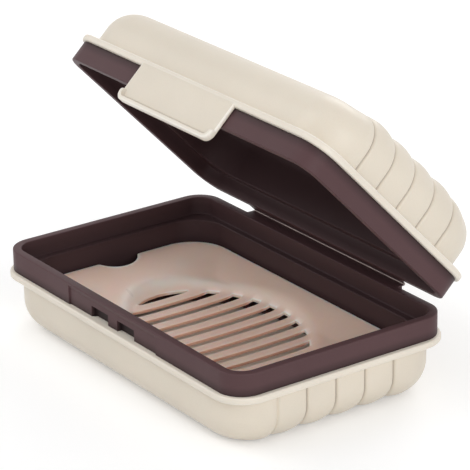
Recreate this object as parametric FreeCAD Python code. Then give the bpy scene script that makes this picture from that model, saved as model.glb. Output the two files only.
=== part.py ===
import FreeCAD, Part
import math
import os

from FreeCAD import Vector

# Travel soap box with its lid open, in millimetres.
# The origin is the middle of the base's underside. X runs along the long side, the latch is
# on the -Y side, the film hinge on the +Y side, and Z is up.
# Each half is drawn as a cup with the parting plane at z = 0 and its floor below, and is then
# set in place: the base is lifted by its depth, and the lid is turned over on top of it and
# opened about the hinge.

# Both halves
parting_gap = 0.2          # between the two rims when the box is shut
overrun = 2.0              # how far every cutting shape passes the face that it opens
touch = 0.001              # how near a face lies to a height to be on it

# Collars, the dark bands that meet at the parting plane
collar_length = 105.0
collar_width = 64.85
collar_corner = 6.9
collar_wall = 2.28
rim_round = 0.3
base_collar_height = 6.0
lid_collar_height = 5.8

# Pale outer shells
base_depth = 21.6          # parting plane to the table
lid_depth = 20.4           # parting plane to the lid's top
flange_overhang = 1.16     # past the collar's face
flange_height = 1.8
flange_corner = 8.6
flange_round = 0.55
body_inset = 1.2           # from the flange's edge in to the body's wall
body_corner = 13.3
base_edge_round = 8.3
lid_edge_round = 8.4
shell_wall = 2.4
shell_floor = 1.8

# Scalloped ends of the shells
crease_count = 5
lobe_pitch = 8.8
base_lobe_shift = 2.05     # the row's middle lies this far towards the latch
lid_lobe_shift = 0.75
crease_depth = 0.85        # crest to crease
crease_half_width = 1.05   # crease to where a lobe grows flat
lobe_rise = 0.16           # from there to the lobe's crest
crest_drop = 0.08          # the lobes' crests lie this far inside the plain wall
crease_run_out = 9.0       # along the flat face, where the creases fade away

# Dark liners
liner_gap = 0.2            # between liner and shell
liner_wall = 1.5
liner_floor = 1.2
base_ledge_depth = 5.0     # parting plane to the ledge
lid_ledge_depth = 4.2
window_length = 67.4       # oval opening in the base liner's floor
window_width = 45.0

# Film hinge along the back
hinge_reach = 2.0          # collar's back face to the fold
leaf_length = 64.6
leaf_thickness = 1.2
fold_gap = 0.6             # from each leaf's edge to the fold
film_thickness = 0.3
lid_open_angle = 46.4      # degrees from shut

# Latch tab, its place on the collars and the catch
latch_shift = 0.7          # the tab, its panel and catches lie this far towards -X
tab_length = 39.8
tab_drop = 4.9             # below the parting plane when shut
tab_corner = 2.4
tab_gap = 0.17             # between the tab and the collars behind it
tab_edge_round = 0.4
lip_radius = 0.72          # of the round bead along the tab's foot
lip_offset = 0.2           # the bead's middle line lies this far in front of the tab's face
lip_rise = 3.0             # how far the bead's middle line runs up each side
panel_length = 39.4
panel_depth = 0.42         # how far the base's collar is set back behind the tab
panel_top = 0.6            # below the parting plane, where the collar starts to slope back
panel_slope = 1.0          # height of that slope
catch_inner = 2.1          # from the latch's middle to each catch pocket's near side
catch_length = 7.5
catch_top = 3.1            # below the parting plane; the pockets run down to the flange
catch_depth = 1.2
nub_side_gap = 0.5
nub_top_gap = 0.25
nub_height = 1.4
nub_reach = 0.6            # past the panel's face
nub_crown = 0.35           # height of the nub's flat tip

# Soap rack
rack_gap = 0.95            # to the liner's wall
rack_height = 7.85         # its edge above the liner's floor
rack_sheet = 1.0
rack_corner = 11.0
rack_land = 0.5            # flat edge round the slopes
slope_drop = 2.6           # edge to the foot of the four slopes
slope_corner = 1.6         # where two slopes meet, at their foot
bowl_length = 67.4         # the oval bowl's brim, which the slopes run into
bowl_width = 43.6
bowl_drop = 4.5            # edge to the bowl's lowest point
bowl_bands = 16            # narrow bands from the bowl's brim to its middle
slot_pitch = 6.0
slot_width = 2.9
slots_each_side = 5
slot_field_width = 38.6
notch_half_width = 6.1
notch_depth = 4.1
foot_radius = 2.0
foot_end_inset = 9.4
foot_side_inset = 13.3

# Each shoulder's middle point, as shares of its rise and of its width: it lies well outside the
# straight line, so that the creases are narrow
knee_rise_share = 0.67
knee_width_share = 0.33
# The slopes' foot, as shares of the rack's length and width
foot_length_share = 0.553
foot_width_share = 0.615
# Control points of the bowl's profile from above its brim down to its middle, as shares of its
# half axes and of its drop
bowl_size_shares = (1.14, 1.04, 0.91, 0.86, 0.6, 0.3, 0.0)
bowl_drop_shares = (-0.2, 0.18, 0.72, 0.93, 0.96, 1.0, 1.0)

# Sizes that follow from those above
collar_x = collar_length / 2
collar_y = collar_width / 2
flange_x = collar_x + flange_overhang
flange_y = collar_y + flange_overhang
body_x = flange_x - body_inset
body_y = flange_y - body_inset
hinge_y = collar_y + hinge_reach
film_bend = parting_gap / 2            # inside radius, level with the leaves' faces
tub_x = body_x - shell_wall - liner_gap - liner_wall
tub_y = body_y - shell_wall - liner_gap - liner_wall
liner_floor_top = shell_floor + liner_gap + liner_floor
rim_z = -parting_gap / 2
panel_y = -collar_y + panel_depth
tab_back_y = -collar_y - tab_gap
slot_field_length = (2 * slots_each_side - 1) * slot_pitch + slot_width


def rounded_face(half_x, half_y, corner, z):
    # A flat rectangle with arc corners, at one height.
    inner_x = half_x - corner
    inner_y = half_y - corner
    centres = ((inner_x, -inner_y), (inner_x, inner_y), (-inner_x, inner_y), (-inner_x, -inner_y))
    arcs = []
    for quarter, (x, y) in enumerate(centres):
        circle = Part.Circle(Vector(x, y, z), Vector(0, 0, 1), corner)
        start = math.radians(90 * (quarter - 1))
        arcs.append(Part.Arc(circle, start, start + math.pi / 2).toShape())
    edges = []
    for arc, following in zip(arcs, arcs[1:] + arcs[:1]):
        edges.append(arc)
        edges.append(Part.makeLine(arc.Vertexes[-1].Point, following.Vertexes[0].Point))
    return Part.Face(Part.Wire(edges))


def rounded_block(half_x, half_y, corner, low, high):
    face = rounded_face(half_x, half_y, corner, low)
    return face.extrude(Vector(0, 0, high - low))


def edges_at(solid, z):
    # The edges that lie flat at one height.
    return [e for e in solid.Edges if abs(e.BoundBox.ZMin - z) < touch and abs(e.BoundBox.ZMax - z) < touch]


def bowl(half_x, half_y, corner, low, high, bottom_round):
    # A rounded block whose lower edge is rounded all the way along.
    block = rounded_block(half_x, half_y, corner, low, high)
    return block.makeFillet(min(bottom_round, high - low - touch), edges_at(block, low))


def box(low_x, high_x, low_y, high_y, low_z, high_z):
    corner = Vector(low_x, low_y, low_z)
    return Part.makeBox(high_x - low_x, high_y - low_y, high_z - low_z, corner)


def oval_block(half_x, half_y, low, high):
    oval = Part.Ellipse(Vector(0, 0, low), half_x, half_y).toShape()
    return Part.Face(Part.Wire(oval)).extrude(Vector(0, 0, high - low))


def lobe_edges(crest, y, z):
    # One lobe from crease to crease: two shoulders and a nearly flat face between them.
    crease_x = crest - crease_depth
    shoulder_x = crest - lobe_rise
    shoulder_y = crease_half_width
    knee_x = crease_x + (shoulder_x - crease_x) * knee_rise_share
    knee_y = shoulder_y * knee_width_share
    points = ((crease_x, 0), (knee_x, knee_y), (shoulder_x, shoulder_y), (crest, lobe_pitch / 2),
              (shoulder_x, lobe_pitch - shoulder_y), (knee_x, lobe_pitch - knee_y), (crease_x, lobe_pitch))
    at = [Vector(px, y + py, z) for px, py in points]
    return [Part.Arc(at[0], at[1], at[2]).toShape(), Part.Arc(at[2], at[3], at[4]).toShape(),
            Part.Arc(at[4], at[5], at[6]).toShape()]


def end_profile(z, shift):
    # The waste outside the end's row of lobes, seen from above.
    crest = body_x - crest_drop
    crease = crest - crease_depth
    lobes = crease_count + 1
    first = -lobes * lobe_pitch / 2 - shift
    last = first + lobes * lobe_pitch
    edges = []
    for lobe in range(lobes):
        edges.extend(lobe_edges(crest, first + lobe * lobe_pitch, z))
    outside = body_x + overrun
    corners = (Vector(crease, last, z), Vector(outside, last, z),
               Vector(outside, first, z), Vector(crease, first, z))
    for start, end in zip(corners, corners[1:]):
        edges.append(Part.makeLine(start, end))
    return Part.Face(Part.Wire(edges))


def end_waste(depth, top, edge_round, shift):
    # The lobes run down the end, round its edge and out along the flat, where they fade away.
    bend_z = edge_round - depth
    profile = end_profile(bend_z, shift)
    side = profile.extrude(Vector(0, 0, top - bend_z))
    bend_centre = Vector(body_x - edge_round, 0, bend_z)
    bend = profile.revolve(bend_centre, Vector(0, 1, 0), 90)
    turned = profile.copy()
    turned.rotate(bend_centre, Vector(0, 1, 0), 90)
    fall = crease_depth + 2 * crest_drop
    flat = turned.extrude(Vector(-crease_run_out, 0, -fall))
    return side.fuse([bend, flat])


def outer_shell(depth, collar_height, edge_round, lobe_shift):
    # A pale half: a bowl with scalloped ends and an overhanging flange round its mouth.
    flange_top = -collar_height
    flange_low = flange_top - flange_height
    body = bowl(body_x, body_y, body_corner, -depth, flange_top - flange_round, edge_round)
    for waste in both_ends(end_waste(depth, flange_low, edge_round, lobe_shift)):
        body = body.cut(waste)
    flange = rounded_block(flange_x, flange_y, flange_corner, flange_low, flange_top)
    flange_edges = edges_at(flange, flange_low) + edges_at(flange, flange_top)
    flange = flange.makeFillet(flange_round, flange_edges)
    cavity_x = body_x - shell_wall
    cavity_y = body_y - shell_wall
    cavity_round = edge_round - shell_wall
    cavity = bowl(cavity_x, cavity_y, body_corner - shell_wall, shell_floor - depth,
                  flange_top + overrun, cavity_round)
    return body.fuse(flange).cut(cavity)


def liner(depth, collar_height, ledge_depth, edge_round):
    # A dark half: a collar at the rim, a ledge that hangs on the shell, and a tub below it.
    collar = rounded_block(collar_x, collar_y, collar_corner, -collar_height, rim_z)
    collar = collar.makeFillet(rim_round, edges_at(collar, rim_z))
    tub_out_x = tub_x + liner_wall
    tub_out_y = tub_y + liner_wall
    tub_out_corner = body_corner - shell_wall - liner_gap
    tub_low = shell_floor + liner_gap - depth
    tub_out_round = edge_round - shell_wall - liner_gap
    tub = bowl(tub_out_x, tub_out_y, tub_out_corner, tub_low, -ledge_depth, tub_out_round)
    mouth_corner = collar_corner - collar_wall
    mouth = rounded_block(collar_x - collar_wall, collar_y - collar_wall, mouth_corner,
                          -ledge_depth, rim_z + overrun)
    hollow = bowl(tub_x, tub_y, tub_out_corner - liner_wall, liner_floor_top - depth,
                  overrun - ledge_depth, tub_out_round - liner_wall)
    solid = collar.fuse(tub).cut(mouth).cut(hollow)
    inner_rim = [edge for edge in edges_at(solid, rim_z) if on_mouth(edge)]
    return solid.makeFillet(rim_round, inner_rim)


def on_mouth(edge):
    # True for an edge of the collar's inner face.
    middle = edge.valueAt((edge.FirstParameter + edge.LastParameter) / 2)
    inside_x = abs(middle.x) < collar_x - collar_wall + touch
    inside_y = abs(middle.y) < collar_y - collar_wall + touch
    return inside_x and inside_y


def hinge_leaf():
    # A flat strip behind the collar, level with the rim, that ends short of the fold.
    half = leaf_length / 2
    return box(-half, half, collar_y - collar_wall / 2, hinge_y - fold_gap, rim_z - leaf_thickness, rim_z)


def side_face(points):
    # A flat face seen from the box's end, through points given as (y, z).
    return Part.Face(Part.makePolygon([Vector(0, y, z) for y, z in points + points[:1]]))


def panel_waste():
    # The base's collar slopes back below its rim and is set back behind the tab.
    out_y = -collar_y - overrun
    low = -base_collar_height - overrun
    points = [(out_y, -panel_top), (-collar_y, -panel_top), (panel_y, -panel_top - panel_slope),
              (panel_y, low), (out_y, low)]
    waste = side_face(points).extrude(Vector(panel_length, 0, 0))
    waste.translate(Vector(-panel_length / 2, 0, 0))
    return waste


def both_ends(shape):
    # The same shape on the left and on the right of the middle.
    return [shape, shape.mirror(Vector(0, 0, 0), Vector(1, 0, 0))]


def catch_pocket():
    return box(catch_inner, catch_inner + catch_length, -collar_y - overrun, panel_y + catch_depth,
               -base_collar_height - overrun, -catch_top)


def make_base_shell():
    return outer_shell(base_depth, base_collar_height, base_edge_round, base_lobe_shift)


def make_base_liner():
    solid = liner(base_depth, base_collar_height, base_ledge_depth, base_edge_round).fuse(hinge_leaf())
    window = oval_block(window_length / 2, window_width / 2, -base_depth, overrun - base_depth + liner_floor_top)
    latch_wastes = [panel_waste()] + both_ends(catch_pocket())
    for waste in latch_wastes:
        waste.translate(Vector(-latch_shift, 0, 0))
    return solid.cut([window] + latch_wastes)


def make_lid_shell():
    # The flange has a square edge above the tab, so that the tab carries on from it.
    shell = outer_shell(lid_depth, lid_collar_height, lid_edge_round, lid_lobe_shift)
    half = tab_length / 2
    root = box(-half, half, -flange_y, tab_back_y, -lid_collar_height - flange_height / 2, -lid_collar_height)
    # The lid is turned over later, which carries this shift towards -X.
    root.translate(Vector(latch_shift, 0, 0))
    return shell.fuse(root)


def make_lid_liner():
    return liner(lid_depth, lid_collar_height, lid_ledge_depth, lid_edge_round).fuse(hinge_leaf())


def finger_lip():
    # A round bead along the tab's foot. It runs round both corners and ends a little above them.
    side_x = tab_length / 2 - lip_radius
    foot_z = lip_radius - tab_drop
    high_z = lip_rise - tab_drop
    bend = tab_corner - lip_radius
    turn = bend * (1 - math.sqrt(1 / 2))
    half = ((side_x - bend, foot_z), (side_x - turn, foot_z + turn), (side_x, foot_z + bend), (side_x, high_z))
    y = -flange_y - lip_offset
    right = [Vector(x, y, z) for x, z in half]
    left = [Vector(-x, y, z) for x, z in half]
    path = [Part.makeLine(left[3], left[2]), Part.Arc(left[2], left[1], left[0]).toShape(),
            Part.makeLine(left[0], right[0]), Part.Arc(right[0], right[1], right[2]).toShape(),
            Part.makeLine(right[2], right[3])]
    ring = Part.Wire(Part.Circle(left[3], Vector(0, 0, 1), lip_radius).toShape())
    bead = Part.Wire(path).makePipeShell([ring], True, False)
    return [bead, Part.makeSphere(lip_radius, left[3]), Part.makeSphere(lip_radius, right[3])]


def catch_nub():
    # A wedge on the tab's back: steep above, sloped below so that it rides over the rim.
    high = -catch_top - nub_top_gap
    tip_y = panel_y + nub_reach
    tip_high = high - nub_top_gap
    tip_low = tip_high - nub_crown
    points = [(tab_back_y - tab_gap, high), (tab_back_y, high), (tip_y, tip_high),
              (tip_y, tip_low), (tab_back_y, high - nub_height), (tab_back_y - tab_gap, high - nub_height)]
    wedge = side_face(points).extrude(Vector(catch_length - 2 * nub_side_gap, 0, 0))
    wedge.translate(Vector(catch_inner + nub_side_gap, 0, 0))
    return wedge


def make_latch_tab():
    # A plate with two rounded lower corners, a bead along its foot and two nubs on its back.
    above = lid_collar_height + tab_corner
    half_height = (above + tab_drop) / 2
    plate = rounded_block(tab_length / 2, half_height, tab_corner, -tab_back_y, flange_y)
    plate = plate.makeFillet(tab_edge_round, edges_at(plate, flange_y))
    plate.rotate(Vector(0, 0, 0), Vector(1, 0, 0), 90)
    plate.translate(Vector(0, 0, half_height - tab_drop))
    top_waste = box(-tab_length, tab_length, -flange_y - overrun, tab_back_y + overrun,
                    lid_collar_height, above + overrun)
    tab = plate.cut(top_waste).fuse(finger_lip() + both_ends(catch_nub()))
    tab.translate(Vector(-latch_shift, 0, 0))
    return tab


def make_hinge_film():
    # A thin strip bent round the outside of the fold, from the base's leaf to the lid's.
    inner = film_bend
    outer = film_bend + film_thickness
    opened = math.radians(lid_open_angle)
    fold = Vector(0, hinge_y, base_depth)
    along = Vector(0, -math.cos(opened), math.sin(opened))
    outward = Vector(0, math.sin(opened), math.cos(opened))
    down = Vector(0, 0, -1)
    forward = Vector(0, -1, 0)
    middle = (down + outward).normalize()
    inner_arc = Part.Arc(fold + down * inner, fold + middle * inner, fold + outward * inner)
    outer_arc = Part.Arc(fold + down * outer, fold + middle * outer, fold + outward * outer)
    start_in = fold + down * inner + forward * fold_gap
    start_out = fold + down * outer + forward * fold_gap
    end_in = fold + outward * inner + along * fold_gap
    end_out = fold + outward * outer + along * fold_gap
    edges = [Part.makeLine(start_in, fold + down * inner)]
    edges.append(inner_arc.toShape())
    edges.append(Part.makeLine(fold + outward * inner, end_in))
    edges.append(Part.makeLine(end_in, end_out))
    edges.append(Part.makeLine(end_out, fold + outward * outer))
    edges.append(outer_arc.toShape())
    edges.append(Part.makeLine(fold + down * outer, start_out))
    edges.append(Part.makeLine(start_out, start_in))
    strip = Part.Face(Part.Wire(edges)).extrude(Vector(leaf_length, 0, 0))
    strip.translate(Vector(-leaf_length / 2, 0, 0))
    return strip


def slope_waste(half_x, half_y, corner, edge_z):
    # The hollow inside four slopes that meet in valleys and run down towards the middle.
    foot_z = edge_z - slope_drop
    edge = rounded_face(half_x, half_y, corner, edge_z)
    foot = rounded_face(half_x * foot_length_share, half_y * foot_width_share, slope_corner, foot_z)
    return Part.makeLoft([edge.OuterWire, foot.OuterWire], True, True)


def bowl_waste(edge_z):
    # An oval hollow in narrow bands that follow one curved profile.
    points = []
    for size_share, drop_share in zip(bowl_size_shares, bowl_drop_shares):
        points.append(Vector(0, bowl_width / 2 * size_share, edge_z - bowl_drop * drop_share))
    curve = Part.BSplineCurve()
    curve.buildFromPoles(points)
    ovals = []
    for index in range(bowl_bands):
        at = curve.value(curve.LastParameter * index / bowl_bands)
        oval = Part.Ellipse(Vector(0, 0, at.z), at.y * bowl_length / bowl_width, at.y)
        ovals.append(Part.Wire(oval.toShape()))
    return Part.makeLoft(ovals, True, True)


def slot_wastes(low, high):
    # Straight slots along Y, cut off by one oval. The outermost run out to the oval's ends.
    oval = oval_block(slot_field_length / 2, slot_field_width / 2, low, high)
    half_y = slot_field_width / 2 + overrun
    wastes = []
    for index in range(slots_each_side):
        near = (index + 1 / 2) * slot_pitch - slot_width / 2
        far = near + slot_width
        if index == slots_each_side - 1:
            far = far + overrun
        strip = box(near, far, -half_y, half_y, low, high).common(oval)
        wastes.extend(both_ends(strip))
    return wastes


def make_soap_rack():
    # A sunk tray with an oval field of slots, a finger notch at one end and four feet.
    floor_z = liner_floor_top
    edge_z = floor_z + rack_height
    half_x = tub_x - rack_gap
    half_y = tub_y - rack_gap
    slope_x = half_x - rack_land
    slope_y = half_y - rack_land
    under_z = edge_z - rack_sheet
    solid = rounded_block(half_x, half_y, rack_corner, under_z, edge_z)
    solid = solid.fuse(slope_waste(half_x, half_y, rack_corner, under_z))
    solid = solid.fuse(bowl_waste(under_z))
    foot_x = half_x - foot_end_inset
    foot_y = half_y - foot_side_inset
    for x in (-foot_x, foot_x):
        for y in (-foot_y, foot_y):
            foot = Part.makeCylinder(foot_radius, under_z - floor_z, Vector(x, y, floor_z))
            solid = solid.fuse(foot)
    solid = solid.cut(slope_waste(slope_x, slope_y, rack_corner - rack_land, edge_z))
    solid = solid.cut(bowl_waste(edge_z))
    for waste in slot_wastes(floor_z, edge_z):
        solid = solid.cut((waste,), touch)
    notch_radius = (notch_half_width ** 2 + notch_depth ** 2) / (2 * notch_depth)
    notch_centre = Vector(notch_depth - half_x - notch_radius, 0, floor_z)
    notch = Part.makeCylinder(notch_radius, rack_height + overrun, notch_centre)
    return solid.cut(notch)


def set_base(shape):
    shape.translate(Vector(0, 0, base_depth))
    return shape


def open_lid(shape):
    # From its shut place on the base to the angle at which it stands open.
    shape.rotate(Vector(0, hinge_y, base_depth), Vector(-1, 0, 0), lid_open_angle)
    return shape


def set_lid(shape):
    # Turned over onto the base, then opened.
    shape.rotate(Vector(0, 0, 0), Vector(0, 1, 0), 180)
    return open_lid(set_base(shape))


def main():
    os.makedirs("parts", exist_ok=True)
    pieces = {
        "base_shell": set_base(make_base_shell()),
        "base_liner": set_base(make_base_liner()),
        "hinge_film": make_hinge_film(),
        "lid_shell": set_lid(make_lid_shell()),
        "lid_liner": set_lid(make_lid_liner()),
        "latch_tab": open_lid(set_base(make_latch_tab())),
        "soap_rack": make_soap_rack(),
    }
    for name, shape in pieces.items():
        solid = shape.removeSplitter()
        solid.exportStep("parts/" + name + ".step")
        size = solid.BoundBox
        print(name, len(solid.Solids), solid.isValid(), round(solid.Volume, 1),
              round(size.XLength, 2), round(size.YLength, 2), round(size.ZLength, 2))


main()
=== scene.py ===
import math

import bmesh
import bpy
import numpy as np
from mathutils import Matrix, Vector
from mathutils.geometry import delaunay_2d_cdt


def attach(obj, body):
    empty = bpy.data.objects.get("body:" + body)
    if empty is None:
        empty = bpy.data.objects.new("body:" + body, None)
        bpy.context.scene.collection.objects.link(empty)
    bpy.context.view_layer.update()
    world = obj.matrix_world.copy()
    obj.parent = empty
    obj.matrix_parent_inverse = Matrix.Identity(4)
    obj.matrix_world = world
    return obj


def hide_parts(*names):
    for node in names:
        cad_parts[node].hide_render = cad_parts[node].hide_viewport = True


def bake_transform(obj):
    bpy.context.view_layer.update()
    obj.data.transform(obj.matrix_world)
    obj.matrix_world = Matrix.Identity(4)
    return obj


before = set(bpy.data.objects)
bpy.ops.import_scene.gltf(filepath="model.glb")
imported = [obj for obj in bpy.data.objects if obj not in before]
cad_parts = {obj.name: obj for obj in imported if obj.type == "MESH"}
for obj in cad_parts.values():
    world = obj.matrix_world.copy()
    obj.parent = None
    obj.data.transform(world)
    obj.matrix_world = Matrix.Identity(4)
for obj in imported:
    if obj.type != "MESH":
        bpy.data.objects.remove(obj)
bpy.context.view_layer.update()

print("frame loaded")

# Colours are written as screen values from 0 to 255, and the pieces' sizes in millimetres

mm = 0.001

shapeSet = {
    "baseDepth": 21.6,
    "lidDepth": 20.4,
    "hingeY": 34.425,
    "openAngle": 46.4,         # degrees, as the lid stands in the photo
    "rim": -0.1,               # the rims' height from the parting plane
    "collarX": 52.5, "collarY": 32.425, "collarCorner": 6.9, "collarWall": 2.28,
    "flangeX": 53.66, "flangeY": 33.585, "flangeCorner": 8.6, "flangeHeight": 1.8, "flangeRound": 0.55,
    "flangeHollow": 0.3,
    "bodyX": 52.46, "bodyY": 32.385, "bodyCorner": 13.3,
    "shellWall": 2.4, "shellFloor": 1.8,
    "linerGap": 0.2, "linerWall": 1.5, "linerFloor": 1.2,
}
bodyBox = (shapeSet["bodyX"], shapeSet["bodyY"], shapeSet["bodyCorner"])


def smaller(box, inset):
    # a rounded rectangle that lies this far inside another
    return tuple(size - inset for size in box)


def placeBase(points):
    return points + np.array((0, 0, shapeSet["baseDepth"]))


def openLid(points):
    # from shut on the base to the photo's angle
    angle = math.radians(shapeSet["openAngle"])
    y = points[:, 1] - shapeSet["hingeY"]
    z = points[:, 2] - shapeSet["baseDepth"]
    turnedY = y * math.cos(angle) + z * math.sin(angle)
    turnedZ = z * math.cos(angle) - y * math.sin(angle)
    return np.stack((points[:, 0], turnedY + shapeSet["hingeY"], turnedZ + shapeSet["baseDepth"]), 1)


def placeLid(points):
    # a lid part is drawn as a cup with its floor below, so it is turned over first
    return openLid(placeBase(points * np.array((-1, 1, -1))))


defaultSharp = 38              # degrees between two faces from which their edge is sharp


def addObject(name, points, faces, mat, smoothAngle=defaultSharp):
    mesh = bpy.data.meshes.new(name)
    mesh.from_pydata((np.asarray(points) * mm).tolist(), [], faces)
    mesh.validate()
    mesh.materials.append(mat)
    mesh.shade_smooth()
    mesh.set_sharp_from_angle(angle=math.radians(smoothAngle))
    obj = bpy.data.objects.new(name, mesh)
    bpy.context.scene.collection.objects.link(obj)
    return obj


def setTone(mesh, values):
    # above 0 painted light (highlights, and a lit floor), below 0 painted shade
    tone = mesh.attributes.new("tone", "FLOAT", "POINT")
    tone.data.foreach_set("value", np.asarray(values, dtype=np.float32))


def fixNormals(mesh):
    shape = bmesh.new()
    shape.from_mesh(mesh)
    bmesh.ops.recalc_face_normals(shape, faces=shape.faces)
    shape.to_mesh(mesh)
    shape.free()


def arcSteps(steps):
    # angles of a quarter turn, both ends included
    return [math.pi / 2 * k / steps for k in range(steps + 1)]


class RingMesh:
    # Rings of the same columns on rounded rectangles, from the underside's middle over the rim
    # and down to the inner floor.
    leastCorner = 0.5
    ovalCorner = 3
    # quarter bends: towards the middle or away, up or down, and whether the wall comes first
    bends = {"outerFoot": (1, 1, False), "outerTop": (1, -1, True), "innerTop": (-1, -1, False),
             "innerFoot": (1, 1, True), "hollow": (-1, -1, True)}

    def __init__(self, frontX, backX, endY, cornerAngles, innerX, innerY):
        self.front = np.array(sorted(frontX)) / innerX
        self.back = np.array(sorted(backX, reverse=True)) / innerX
        self.end = np.array(sorted(endY)) / innerY
        self.angles = np.radians(cornerAngles)
        self.rings = []
        self.tags = []

    def outline(self, halfX, halfY, corner):
        innerX = halfX - corner
        innerY = halfY - corner
        # the corner angles are counted from the box's ends
        along = np.cos(self.angles) * corner
        aside = np.sin(self.angles) * corner
        endX = np.full(len(self.end), halfX)
        parts = [
            (self.front * innerX, np.full(len(self.front), -halfY)),
            (innerX + along[::-1], -innerY - aside[::-1]),
            (endX, self.end * innerY),
            (innerX + along, innerY + aside),
            (self.back * innerX, np.full(len(self.back), halfY)),
            (-innerX - along[::-1], innerY + aside[::-1]),
            (-endX, self.end[::-1] * innerY),
            (-innerX - along, -innerY - aside),
        ]
        return np.concatenate([np.stack(part, 1) for part in parts])

    def add(self, box, z, inset=0, tag=""):
        # box is half the length, half the width and the corners' radius
        halfX, halfY, corner = box
        flat = self.outline(halfX - inset, halfY - inset, max(corner - inset, self.leastCorner))
        self.rings.append(np.column_stack((flat, np.full(len(flat), z))))
        self.tags.append(tag)

    def addBend(self, kind, box, radius, z, count, tag="", first=0):
        side, rise, isLate = self.bends[kind]
        for turn in arcSteps(count)[first:]:
            aside, up = 1 - math.sin(turn), 1 - math.cos(turn)
            if isLate:
                aside, up = up, aside
            self.add(box, z + rise * radius * up, side * radius * aside, tag)

    def addOval(self, halfX, halfY, z, tag=""):
        # the same columns, each drawn in towards the middle onto an oval
        flat = self.outline(halfX + self.ovalCorner, halfY + self.ovalCorner, self.ovalCorner)
        size = np.hypot(flat[:, 0] / halfX, flat[:, 1] / halfY)
        self.rings.append(np.column_stack((flat / size[:, None], np.full(len(flat), z))))
        self.tags.append(tag)

    def stack(self):
        return np.stack(self.rings)

    def faces(self, closed):
        count = len(self.rings)
        columns = len(self.rings[0])
        if not closed:
            return gridFaces(0, count, columns) + endFaces(0, count, columns)
        total = count * columns
        return [tuple(k % total for k in face) for face in gridFaces(0, count + 1, columns)]


def gridFaces(start, rows, count, isRound=True):
    # the faces between rows of points, which run round or end at both sides
    last = count if isRound else count - 1
    out = []
    for low in range(start, start + (rows - 1) * count, count):
        for i in range(last):
            j = (i + 1) % count
            out.append((low + i, low + j, low + count + j, low + count + i))
    return out


def endFaces(start, rows, count):
    last = start + (rows - 1) * count
    return [tuple(reversed(range(start, start + count))), tuple(range(last, last + count))]


def steps(low, high, pitch):
    count = max(1, int(math.ceil((high - low) / pitch)))
    return list(np.linspace(low, high, count + 1))


def pairs(places, gap):
    # two columns close together at each step in the surface
    out = []
    for place in places:
        out.extend((place - gap, place + gap))
    return out


class Wire:
    # a value on its way through a node tree: each sum adds a math node
    def __init__(self, tree, socket):
        self.tree = tree
        self.socket = socket

    def __add__(self, other):
        return mathNode(self.tree, "ADD", self, other)

    def __sub__(self, other):
        return mathNode(self.tree, "SUBTRACT", self, other)

    def __rsub__(self, other):
        return mathNode(self.tree, "SUBTRACT", other, self)

    def __mul__(self, other):
        return mathNode(self.tree, "MULTIPLY", self, other)

    def __truediv__(self, other):
        return mathNode(self.tree, "DIVIDE", self, other)

    def __abs__(self):
        return mathNode(self.tree, "ABSOLUTE", self)

    def atLeast(self, other):
        return mathNode(self.tree, "MAXIMUM", self, other)

    def atMost(self, other):
        return mathNode(self.tree, "MINIMUM", self, other)


def giveInput(value, socket, tree):
    # a wire is linked, and a plain value is set
    if isinstance(value, Wire):
        tree.links.new(value.socket, socket)
    else:
        socket.default_value = value


def mathNode(tree, operation, *values):
    node = tree.nodes.new("ShaderNodeMath")
    node.operation = operation
    for value, socket in zip(values, node.inputs):
        giveInput(value, socket, tree)
    return Wire(tree, node.outputs[0])


def softStep(tree, value):
    node = tree.nodes.new("ShaderNodeMapRange")
    node.interpolation_type = "SMOOTHSTEP"
    giveInput(value, node.inputs[0], tree)
    return Wire(tree, node.outputs[0])


def joinXYZ(tree, x=0.0, y=0.0, z=0.0):
    node = tree.nodes.new("ShaderNodeCombineXYZ")
    for value, socket in zip((x, y, z), node.inputs):
        giveInput(value, socket, tree)
    return Wire(tree, node.outputs[0])


def splitPlace(tree):
    # each point's x, y and z
    place = tree.nodes.new("GeometryNodeInputPosition")
    parts = tree.nodes.new("ShaderNodeSeparateXYZ")
    tree.links.new(place.outputs[0], parts.inputs[0])
    return [Wire(tree, socket) for socket in parts.outputs]


def startTree(name, inputs):
    # a geometry tree with these named inputs, each given with its kind
    tree = bpy.data.node_groups.new(name, "GeometryNodeTree")
    for label, kind in inputs.items():
        tree.interface.new_socket(label, in_out="INPUT", socket_type="NodeSocket" + kind)
    tree.interface.new_socket("Geometry", in_out="OUTPUT", socket_type="NodeSocketGeometry")
    sockets = tree.nodes.new("NodeGroupInput").outputs
    return tree, {label: Wire(tree, sockets[label]) for label in inputs}


def endTree(tree, geometry, material):
    real = tree.nodes.new("GeometryNodeRealizeInstances")
    paint = tree.nodes.new("GeometryNodeSetMaterial")
    out = tree.nodes.new("NodeGroupOutput")
    tree.links.new(geometry, real.inputs[0])
    tree.links.new(real.outputs[0], paint.inputs["Geometry"])
    giveInput(material, paint.inputs["Material"], tree)
    tree.links.new(paint.outputs[0], out.inputs[0])


def runTree(obj, tree, values):
    # sets the tree's inputs, and gives back what it makes as a plain mesh
    modifier = obj.modifiers.new(tree.name, "NODES")
    modifier.node_group = tree
    for item in tree.interface.items_tree:
        if item.in_out == "INPUT" and item.name in values:
            modifier[item.identifier] = values[item.name]
    graph = bpy.context.evaluated_depsgraph_get()
    made = bpy.data.meshes.new_from_object(obj.evaluated_get(graph))
    obj.modifiers.remove(modifier)
    return made


def readPoints(mesh):
    flat = np.empty(len(mesh.vertices) * 3)
    mesh.vertices.foreach_get("co", flat)
    return flat.reshape(-1, 3)


def writePoints(mesh, points):
    mesh.vertices.foreach_set("co", points.ravel())
    mesh.update()


def setPlace(obj, place):
    # the tree works in millimetres on the half as it is drawn; this puts it in place in metres
    writePoints(obj.data, place(readPoints(obj.data)) * mm)


# each plastic's second and third colours are its painted highlight colour and its painted shade colour
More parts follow.
